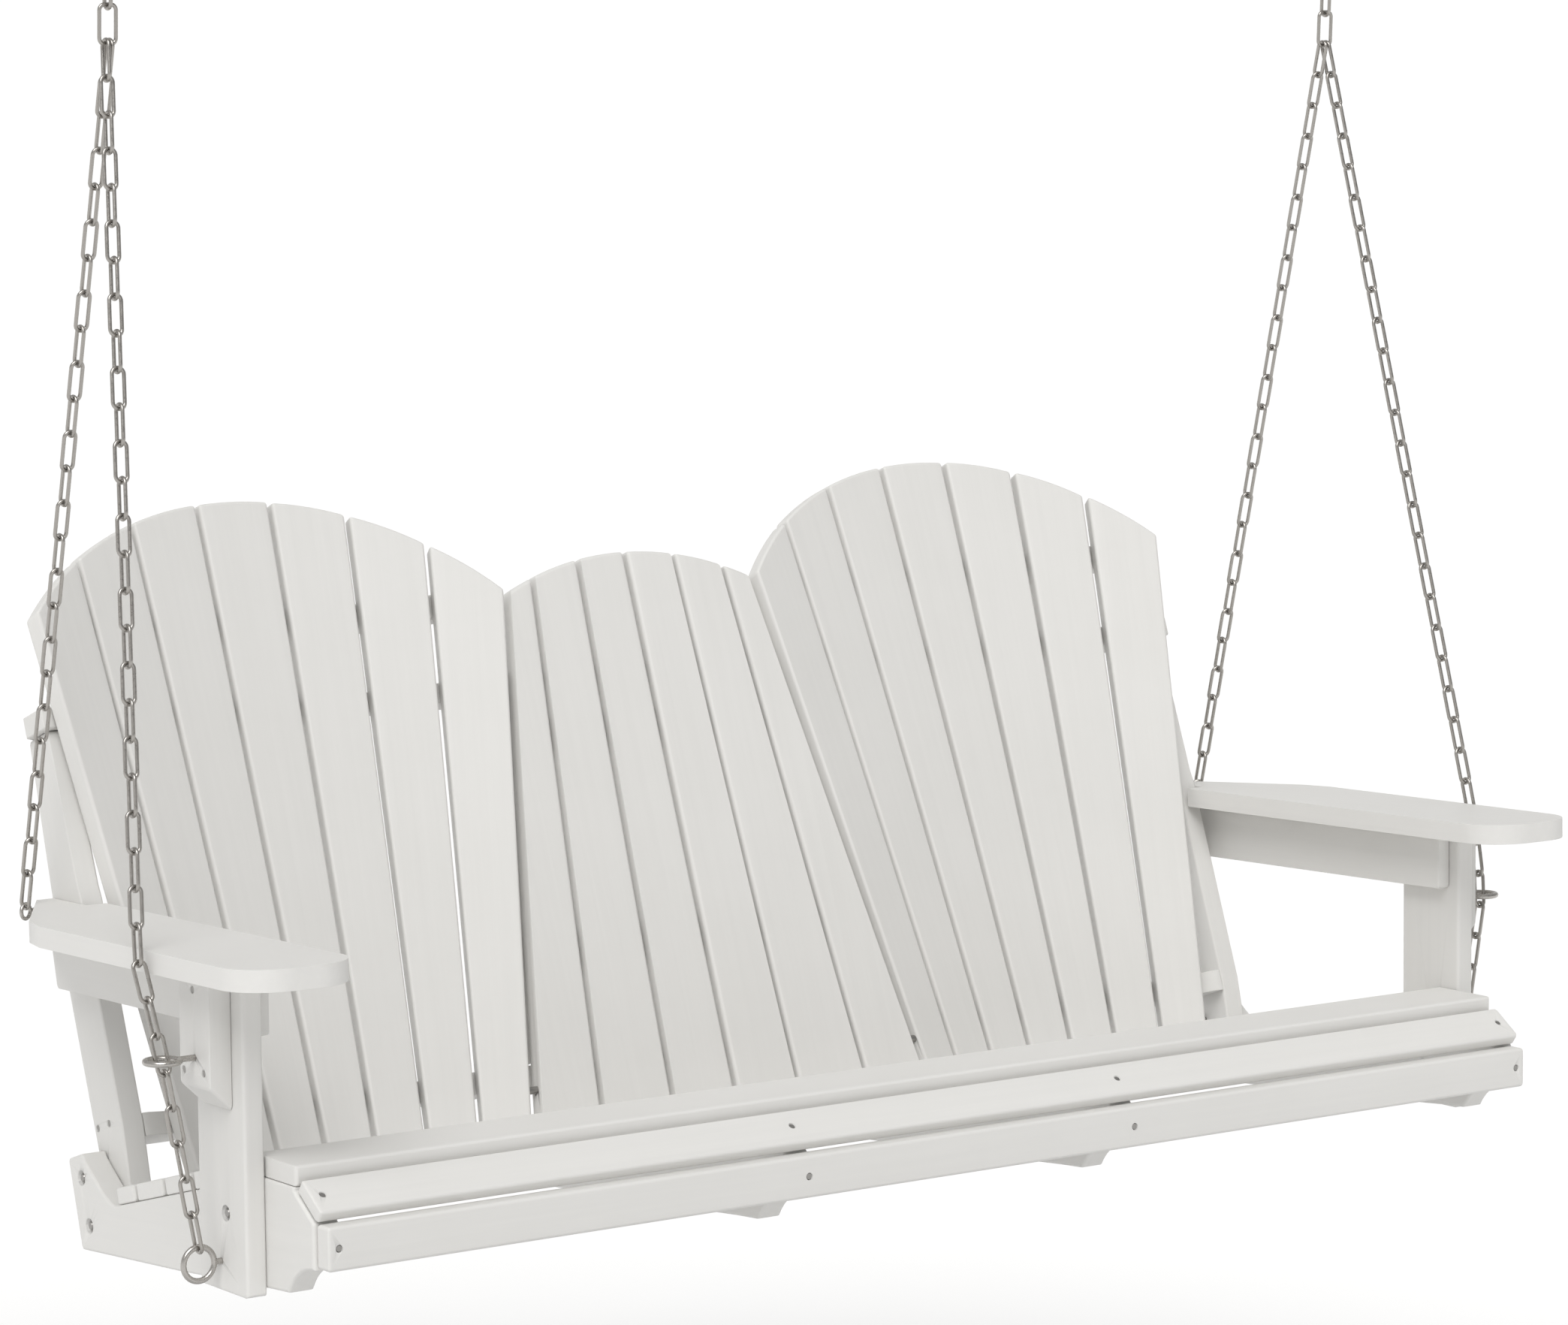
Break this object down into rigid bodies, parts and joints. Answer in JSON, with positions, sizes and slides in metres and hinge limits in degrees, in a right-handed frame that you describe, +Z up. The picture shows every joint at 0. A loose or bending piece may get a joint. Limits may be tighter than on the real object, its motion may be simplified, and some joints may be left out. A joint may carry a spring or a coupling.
{
  "type": "porch swing seat",
  "caption": "Slatted porch swing seat with a fan-shaped back, a fold-down middle panel and armrests, hung on chains from ceiling hangers.",
  "frame": {"origin": "centre of the ceiling bolt pattern, on the ceiling plane, midway between the hangers", "axes": "+X to the right for a viewer who stands in front of the seat and faces it, +Y to the back of the seat, +Z up"},
  "size_m": [1.7326, 0.7672, 1.3255],
  "materials": {
    "seat_board": "warm off-white plastic lumber, fine straight grain, softly rounded edges",
    "back_board": "warm off-white plastic lumber, fine grain along the board",
    "arm_board": "warm off-white plastic lumber, smooth satin top",
    "frame_board": "warm off-white plastic lumber, satin",
    "steel_chain": "plain stainless chain wire",
    "steel_hanger": "stainless plate and ring",
    "steel_eyes": "stainless bent wire eyes",
    "steel_fasteners": "stainless screw and bolt heads"
  },
  "bodies": {
    "hangers": {"ceiling_hanger_left": "steel_hanger", "ceiling_hanger_right": "steel_hanger"},
    "top_chain_left": {"top_chain_left": "steel_chain"},
    "top_chain_right": {"top_chain_right": "steel_chain"},
    "seat": {"front_chain_left": "steel_chain", "front_chain_right": "steel_chain", "rear_chain_left": "steel_chain", "rear_chain_right": "steel_chain", "lower_eyes": "steel_eyes", "guide_eyes": "steel_eyes", "rear_eyes": "steel_eyes", "front_post_left": "frame_board", "front_post_right": "frame_board", "corbel_left": "frame_board", "corbel_right": "frame_board", "armrest_left": "arm_board", "armrest_right": "arm_board", "arm_support_left": "frame_board", "arm_support_right": "frame_board", "rear_leg_left": "frame_board", "rear_leg_right": "frame_board", "outer_rib_left": "frame_board", "outer_rib_right": "frame_board", "inner_rib_left": "frame_board", "inner_rib_right": "frame_board", "front_apron": "seat_board", "nose_slat": "seat_board", "front_seat_slat": "seat_board", "seat_slats": "seat_board", "rear_seat_slat": "seat_board", "fan_slat_left_1": "back_board", "fan_slat_left_2": "back_board", "fan_slat_left_3": "back_board", "fan_slat_left_4": "back_board", "fan_slat_left_5": "back_board", "fan_slat_left_6": "back_board", "fan_slat_left_7": "back_board", "fan_slat_right_1": "back_board", "fan_slat_right_2": "back_board", "fan_slat_right_3": "back_board", "fan_slat_right_4": "back_board", "fan_slat_right_5": "back_board", "fan_slat_right_6": "back_board", "fan_slat_right_7": "back_board", "fan_cleat_left": "frame_board", "fan_cleat_right": "frame_board", "upper_cross_rail": "frame_board", "lower_cross_rail": "frame_board", "inner_stile_left": "frame_board", "inner_stile_right": "frame_board", "pivot_pins": "steel_fasteners", "deck_screws": "steel_fasteners", "carriage_bolts": "steel_fasteners", "bolt_nuts": "steel_fasteners"},
    "middle_panel": {"panel_slats_outer": "back_board", "panel_slats_middle": "back_board", "panel_slats_inner": "back_board", "panel_cleats": "frame_board"}
  },
  "joints": [
    {"name": "swing_left", "type": "hinge", "parent": "hangers", "child": "top_chain_left", "pos_m": [-0.77826, 0, -0.034], "axis": [1, 0, 0], "range_deg": [-25, 25]},
    {"name": "swing_right", "type": "hinge", "parent": "hangers", "child": "top_chain_right", "pos_m": [0.77826, 0, -0.034], "axis": [1, 0, 0], "range_deg": [-25, 25]},
    {"name": "seat_rock", "type": "hinge", "parent": "top_chain_left", "child": "seat", "pos_m": [0, 0, -0.10345], "axis": [1, 0, 0], "range_deg": [-10, 10]},
    {"name": "panel_fold", "type": "hinge", "parent": "seat", "child": "middle_panel", "pos_m": [0, 0.03919, -1.21238], "axis": [1, 0, 0], "range_deg": [0, 97]}
  ],
  "couplings": [
    {"joint": "swing_right", "follows": "swing_left", "ratio": 1}
  ]
}
